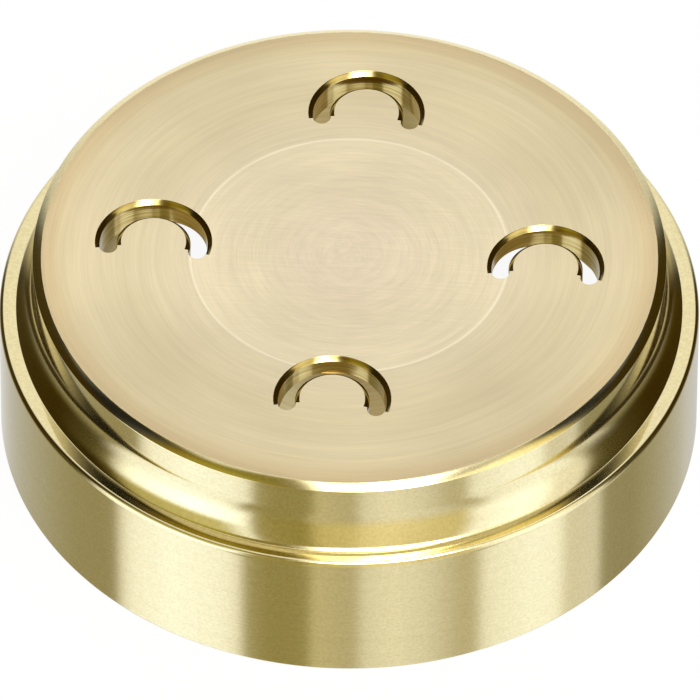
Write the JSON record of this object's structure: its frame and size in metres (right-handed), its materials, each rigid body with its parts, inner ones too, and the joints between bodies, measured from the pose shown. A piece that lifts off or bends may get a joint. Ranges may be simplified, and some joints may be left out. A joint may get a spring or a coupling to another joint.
{
  "type": "pasta extrusion die",
  "caption": "Round stepped brass die with crescent outlets in its face, clamped to a pasta extruder's barrel by a ring nut to shape the dough.",
  "frame": {"origin": "centre of the rim that the die stands on", "axes": "+Z along the turning axis, from the rim to the outlet face; the open sides of the crescent outlets face -Y"},
  "size_m": [0.056, 0.056, 0.0184],
  "materials": {
    "brass": "turned satin brass, concentric facing marks on the outlet face, smooth turned sides"
  },
  "bodies": {
    "root": {"die_body": "brass"}
  },
  "joints": []
}
